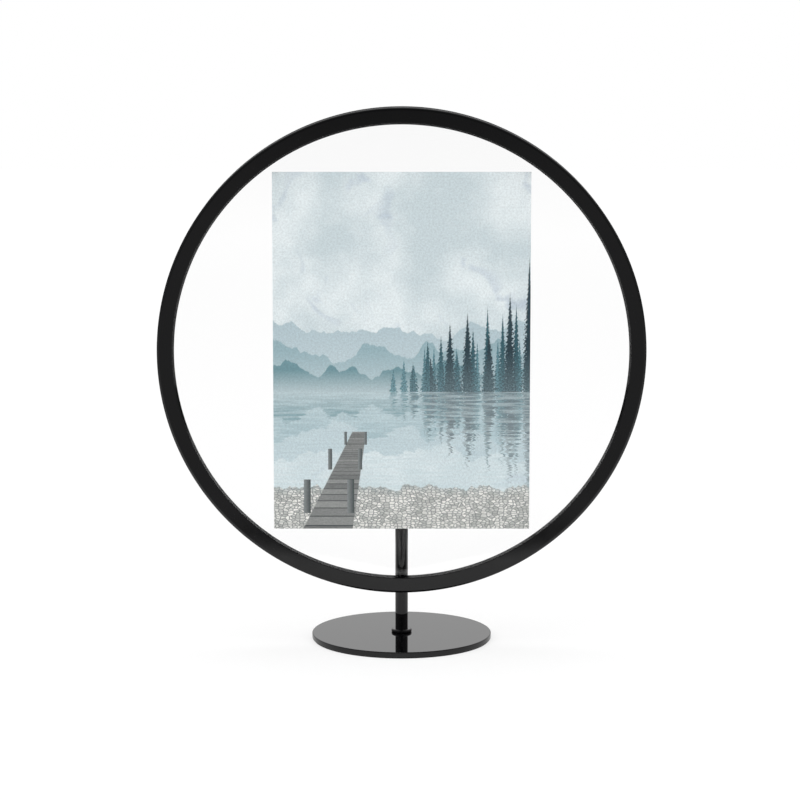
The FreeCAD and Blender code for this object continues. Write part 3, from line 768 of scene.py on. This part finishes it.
@dataclass
class Hub:
    """Turning hub behind the print.

    Attributes:
        cap_wall: Wall of the cap.
        cap_round: Round on its outer edge.
        cap_skirt: How far it reaches over the block.
        segments: Steps of a full turn.
    """

    cap_wall: float = 1.2
    cap_round: float = 0.9
    cap_skirt: float = 1.8
    segments: int = 144

    def build(self) -> None:
        """Turn the cap and dress the rest."""
        low, high = reach("hub_cover")
        centre = (low + high) / 2
        outer, back = high[:2]
        bore, inside = outer - self.cap_wall, back - self.cap_wall
        rim = inside - self.cap_skirt
        points, faces = turned(rounded_outline([
            Corner(0, inside), Corner(bore, inside, BROKEN), Corner(bore, rim, INNER), Corner(outer, rim, BROKEN),
            Corner(outer, back, self.cap_round), Corner(0, back),
        ], closed=False), False, Axis.DEPTH, np.array((0, 0, centre[2])), self.segments)
        new_piece("hub_cap_moulded", points, faces, "stand", "hub_cover", Finishes.ABS.value)
        for node, finish in (
            ("hub_block", Finishes.RING_ENAMEL), ("hub_plate", Finishes.RING_ENAMEL),
            ("hub_bond_pad", Finishes.TAPE), ("pivot_screw", Finishes.BLACK_OXIDE),
            ("friction_disc", Finishes.ACETAL), ("wave_washer", Finishes.ZINC), ("thrust_washer", Finishes.ZINC),
            ("stop_pin", Finishes.ZINC), ("stem_set_screw", Finishes.BLACK_OXIDE),
        ):
            dress(node, finish.value)


@dataclass
class Ring:
    """Front and rear ring, the panes and the print between them.

    Attributes:
        face_width: Width of the ring seen from the front.
        lip_depth: Depth of the lip that covers the panes' edge.
        bevel_width: Width of the bevel inside the face, seen from the front.
        bevel_depth: Depth of that bevel.
        edge_round: Round on the outer front edge.
        wall: Thickness of the outer wall.
        bed_inset: How far the rear ring stays behind the sight edge.
        flange: Thickness of the rear ring's flange.
        flange_round: Round on its outer back edge.
        spigot_gap: Gap between the rear ring's step and the wall.
        pane_round: Round on a pane's ground edge.
        magnet_proud: How far the magnets stand out of the wall's end.
        segments: Steps of a full turn.
    """

    face_width: float = 8.45
    lip_depth: float = 2.6
    bevel_width: float = 0.85
    bevel_depth: float = 2.45
    edge_round: float = 1.4
    wall: float = 3.25
    bed_inset: float = 1.65
    flange: float = 1.5
    flange_round: float = 0.8
    spigot_gap: float = 0.3
    pane_round: float = 0.25
    magnet_proud: float = 0.03
    segments: int = 300

    def build(self) -> None:
        """Turn the rings and panes, stand the print between them and dress the rest."""
        low, high = reach("front_ring")
        centre = np.array((0, 0, (low[2] + high[2]) / 2))
        radius, face, wall_end = high[0], low[1], high[1] - self.magnet_proud
        sight = radius - self.face_width
        enamel = Finishes.RING_ENAMEL.value
        self.turn_piece("front_ring_enamelled", "front", "front_ring", enamel, centre, [
            Corner(sight, face + self.bevel_depth, TURNED), Corner(sight + self.bevel_width, face, EASED),
            Corner(radius, face, self.edge_round),
            Corner(radius, wall_end, BROKEN), Corner(radius - self.wall, wall_end, TURNED),
            Corner(radius - self.wall, face + self.lip_depth, INNER), Corner(sight, face + self.lip_depth, LIP),
        ])
        low, high = reach("rear_ring")
        start, back = low[1], high[1]
        step = radius - self.wall - self.spigot_gap
        bed = sight + self.bed_inset
        self.turn_piece("rear_ring_enamelled", "frame", "rear_ring", enamel, centre, [
            Corner(bed, start, TURNED), Corner(step, start, TURNED), Corner(step, back - self.flange, INNER),
            Corner(radius, back - self.flange, BROKEN), Corner(radius, back, self.flange_round),
            Corner(bed, back, EASED),
        ])
        for node, body, finish in (("front_glass", "front", Finishes.GLASS),
                                   ("rear_glass", "frame", Finishes.COATED_GLASS)):
            low, high = reach(node)
            self.turn_piece(f"{node}_pane", body, node, finish.value, centre, [
                Corner(0, low[1]), Corner(high[0], low[1], self.pane_round),
                Corner(high[0], high[1], self.pane_round), Corner(0, high[1]),
            ], closed=False)
        self.stand_print()
        dress("rear_glass_tape", Finishes.TAPE.value)
        dress("front_gasket", Finishes.TAPE.value)
        dress("ring_magnets", Finishes.NICKEL.value)

    def turn_piece(self, name: str, body: str, node: str, finish: Finish, centre: np.ndarray,
                   corners: Sequence[Corner], closed: bool = True) -> None:
        """Turn a piece of the ring round the ring's axis.

        Args:
            name: The piece's name.
            body: The CAD body that it rides on.
            node: The CAD node that it replaces.
            finish: What it is dressed in.
            centre: A point on the ring's axis.
            corners: Its outline, with places along Y.
            closed: Whether the outline runs back to its start.
        """
        points, faces = turned(rounded_outline(corners, closed), closed, Axis.DEPTH, centre, self.segments)
        new_piece(name, points, faces, body, node, finish)

    def stand_print(self) -> None:
        """Stand the print between the panes, with the picture in front and bare paper behind."""
        low, high = reach("photo_print")
        size = high - low
        points, faces, front = sheet_between(size[0] / 2, size[2] / 2, low[1], high[1], (low[2] + high[2]) / 2)
        piece = new_piece("photo_print_lustre", points, faces, "frame", "photo_print",
                          Finishes.PICTURE.value)
        piece.data.shade_flat()
        piece.data.materials.append(Finishes.PAPER.value.material())
        paper = np.ones(len(piece.data.polygons), np.int32)
        paper[:front] = 0
        piece.data.polygons.foreach_set("material_index", paper)


# --- stage -----------------------------------------------


@dataclass(frozen=True)
class FloorFinish(Finish):
    """White table top: matt, white to the camera but for the shadow, and banded in mirrors.

    Attributes:
        near: Distance from the middle up to which the camera sees the shadow's full depth, in millimetres.
        far: Distance from which the camera sees plain white.
        bend: How far the bands bend forward for each millimetre beside the middle.
        bands: Places along Y in millimetres, from the front, and how bright mirrors see the table there.
        lift: How much brighter mirrors see it beside the middle.
        lift_span: How far beside the middle that starts and is full, in millimetres.
        glow: The light that the camera sees it give, up to near and from far.
    """

    near: float = 150.0
    far: float = 2000.0
    bend: float = 0.9
    bands: tuple[tuple[float, float], ...] = (
        (-400.0, 0.28), (-320.0, 0.24), (-260.0, 0.17), (-240.0, 0.12), (-215.0, 0.05), (-184.0, 0.04),
        (-179.0, 1.0), (-170.0, 1.0), (-155.0, 0.75), (-50.0, 0.68), (190.0, 0.6), (320.0, 0.1),
    )
    lift: float = 0.22
    lift_span: tuple[float, float] = (50.0, 120.0)
    glow: tuple[float, float] = (0.70, 0.84)

    def surface(self, sheet: NodeSheet) -> bpy.types.Node:
        """Give lamps a plain matt white, the camera mostly its own light, and mirrors the bands."""
        path = sheet.add("LightPath")
        place = sheet.add("TexCoord").outputs["Object"]
        matt = sheet.add("BsdfDiffuse", linear("#e4e4e4"))
        shadowed = sheet.add("BsdfDiffuse", linear("#8c8c8c"))
        away = sheet.add("VectorMath", place, operation="LENGTH").outputs["Value"]
        glow = sheet.fit(away, self.near * MM, self.far * MM, *self.glow)
        seen = sheet.add("AddShader", shadowed, sheet.add("Emission", WHITE, glow))
        first, last = self.bands[0][0], self.bands[-1][0]
        parts = sheet.add("SeparateXYZ", place)
        beside = sheet.math("ABSOLUTE", parts.outputs["X"])
        bent = sheet.math("MULTIPLY_ADD", beside, self.bend, parts.outputs["Y"])
        ramp = sheet.add("ValToRGB", sheet.fit(bent, first * MM, last * MM))
        for number, (at, level) in enumerate(self.bands):
            share = (at - first) / (last - first)
            stops = ramp.color_ramp.elements
            stop = stops[0] if number == 0 else stops.new(share)
            stop.position, stop.color = share, (level, level, level, 1)
        lift = sheet.fit(beside, self.lift_span[0] * MM, self.lift_span[1] * MM, 0.0, self.lift)
        mirrored = sheet.add("Emission", WHITE, sheet.math("ADD", ramp, lift))
        direct = sheet.math("MAXIMUM", path.outputs["Is Camera Ray"], path.outputs["Is Transmission Ray"])
        shown = sheet.add("MixShader", direct, matt, seen)
        return sheet.add("MixShader", path.outputs["Is Glossy Ray"], shown, mirrored)


@dataclass(frozen=True)
class Softbox:
    """A soft rectangular lamp that mirrors don't see. Its sizes are in metres.

    Attributes:
        name: The lamp's name.
        place: Where it hangs.
        width: Its width.
        height: Its height.
        power: Its power in watts.
        target: What it looks at.
    """

    name: str
    place: tuple[float, float, float]
    width: float
    height: float
    power: float
    target: tuple[float, float, float] = (0.0, 0.0, 0.15)

    def hang(self) -> None:
        """Hang the lamp and turn it to its target."""
        light = bpy.data.lights.new(self.name, "AREA")
        light.shape = "RECTANGLE"
        light.size, light.size_y, light.energy = self.width, self.height, self.power
        lamp = bpy.data.objects.new(self.name, light)
        lamp.visible_glossy = False
        lamp.location = self.place
        aim = lamp.location.copy()
        aim.x, aim.y, aim.z = (there - here for here, there in zip(self.place, self.target))
        lamp.rotation_euler = aim.to_track_quat("-Z", "Y").to_euler()
        bpy.context.scene.collection.objects.link(lamp)


@dataclass
class Stage:
    """Table, room, lamps and camera, with lengths in metres.

    Mirrors see a dim room, dimmest at eye level and behind the frame, and a white sweep of paper that rises from
    a little above the horizon behind the frame and ends overhead. Each of these starts and is full at given parts of
    a view's direction: Y away from the camera and Z up.

    Attributes:
        floor_half: Half width of the table.
        floor_front: Front end of the table.
        floor_back: Back end of the table.
        camera_place: Where the camera stands.
        camera_drop: How far it looks down, in degrees.
        lens: Focal length in millimetres.
        sensor: Width of the sensor in millimetres.
        room_light: Level of the room for matt surfaces.
        sweep_lean: Y plus Z where the sweep starts and is full.
        sweep_rise: Z where the sweep starts and is full.
        sweep_light: Level of the sweep.
        low_room: Z where the room below eye level starts and is full.
        low_light: Level of the room at eye level and below.
        side_light: How much brighter the room is straight to the side.
        rear_room: Y where the room behind the frame starts and is full.
        rear_light: Level of the room there.
        lamps: The lamps.
    """

    floor_half: float = 2.5
    floor_front: float = -0.4
    floor_back: float = 3.0
    camera_place: tuple[float, float, float] = (-0.0008, -1.4768, 0.352)
    camera_drop: float = 8.88
    lens: float = 135.0
    sensor: float = 36.0
    room_light: float = 0.62
    sweep_lean: tuple[float, float] = (0.55, 1.05)
    sweep_rise: tuple[float, float] = (0.07, 0.19)
    sweep_light: float = 0.93
    low_room: tuple[float, float] = (-0.04, -0.09)
    low_light: tuple[float, float] = (0.08, 0.3)
    side_light: float = 0.22
    rear_room: tuple[float, float] = (0.1, 0.5)
    rear_light: float = 0.03
    lamps: tuple[Softbox, ...] = (
        Softbox("overhead_softbox", (0.0, 0.1, 1.5), 1.7, 1.3, 16.0),
        Softbox("left_softbox", (-1.5, -1.6, 1.3), 1.0, 1.0, 14.0),
        Softbox("right_softbox", (1.6, -1.5, 1.1), 1.0, 1.0, 9.0),
    )

    def build(self) -> None:
        """Lay the table, light the room, hang the lamps and stand the camera."""
        self.lay_table()
        self.light_room()
        for lamp in self.lamps:
            lamp.hang()
        self.stand_camera()

    def lay_table(self) -> None:
        """Lay a flat white table top under the frame."""
        corners = [(-self.floor_half, self.floor_front, 0), (self.floor_half, self.floor_front, 0),
                   (self.floor_half, self.floor_back, 0), (-self.floor_half, self.floor_back, 0)]
        mesh = bpy.data.meshes.new("table_top")
        mesh.from_pydata(corners, [], [(0, 1, 2, 3)])
        white = FloorFinish("white_table").material()
        white.cycles.emission_sampling = "NONE"
        mesh.materials.append(white)
        table = bpy.data.objects.new("table_top", mesh)
        bpy.context.scene.collection.objects.link(table)

    def light_room(self) -> None:
        """White to the camera and through glass, an even level on matt surfaces, and the studio in mirrors."""
        world = bpy.data.worlds.new("studio")
        bpy.context.scene.world = world
        world.use_nodes = True
        world.cycles.sampling_method = "NONE"
        sheet = NodeSheet(world.node_tree)
        path = sheet.add("LightPath")
        way = sheet.add("SeparateXYZ", sheet.add("TexCoord").outputs["Generated"])
        rise = sheet.math("ADD", way.outputs["Y"], way.outputs["Z"])
        behind = sheet.fit(rise, *self.sweep_lean, smooth=True)
        above = sheet.fit(way.outputs["Z"], *self.sweep_rise, smooth=True)
        sweep = sheet.math("MULTIPLY", behind, above)
        room = sheet.fit(way.outputs["Z"], *self.low_room, *self.low_light, smooth=True)
        beside = sheet.math("ABSOLUTE", way.outputs["X"])
        dim = sheet.math("MULTIPLY_ADD", beside, self.side_light, room)
        far = sheet.fit(way.outputs["Y"], *self.rear_room, smooth=True)
        dim = sheet.mix(far, dim, self.rear_light, "FLOAT")
        mirrored = sheet.mix(sweep, dim, self.sweep_light, "FLOAT")
        level = sheet.mix(path.outputs["Is Glossy Ray"], self.room_light, mirrored, "FLOAT")
        direct = sheet.math("MAXIMUM", path.outputs["Is Camera Ray"], path.outputs["Is Transmission Ray"])
        level = sheet.mix(direct, level, 1.0, "FLOAT")
        sheet.add("OutputWorld", sheet.add("Background", WHITE, level))

    def stand_camera(self) -> None:
        """Stand the camera where the photograph was taken from."""
        lens = bpy.data.cameras.new("camera")
        lens.lens, lens.sensor_width = self.lens, self.sensor
        camera = bpy.data.objects.new("camera", lens)
        camera.location = self.camera_place
        camera.rotation_euler = (math.radians(90 - self.camera_drop), 0.0, 0.0)
        bpy.context.scene.collection.objects.link(camera)
        bpy.context.scene.camera = camera


def main() -> None:
    """Build the frame and its stage."""
    logging.basicConfig(level=logging.INFO, format="%(message)s")
    bpy.context.scene.view_settings.view_transform = "Standard"
    for part in (Stand(), Hub(), Ring(), Stage()):
        part.build()
        log.info("%s is built", type(part).__name__)


if __name__ == "__main__":
    main()
